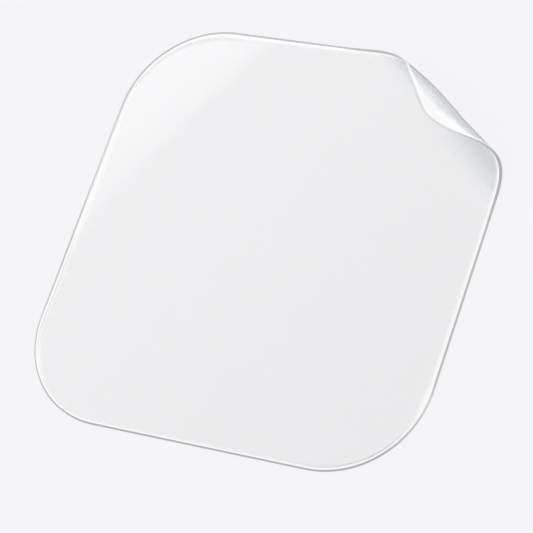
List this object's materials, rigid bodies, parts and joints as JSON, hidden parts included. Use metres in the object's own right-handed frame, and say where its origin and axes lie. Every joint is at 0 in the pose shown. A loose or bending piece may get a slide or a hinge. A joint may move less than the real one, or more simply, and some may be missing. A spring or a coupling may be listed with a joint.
{
  "type": "smartwatch screen protector",
  "caption": "Thin clear film for a nearly square watch face with large rounded corners and a rounded front edge, lying flat with one corner peeled up and rolled over.",
  "frame": {"origin": "middle of the film's back face, the side that is laid on the watch glass", "axes": "+X right and +Y up as the watch face is read, +Z out of the front of the film"},
  "size_m": [0.0374, 0.038, 0.0038],
  "materials": {
    "clear_film": "clear polished film"
  },
  "bodies": {
    "root": {"protector_film": "clear_film"}
  },
  "joints": []
}
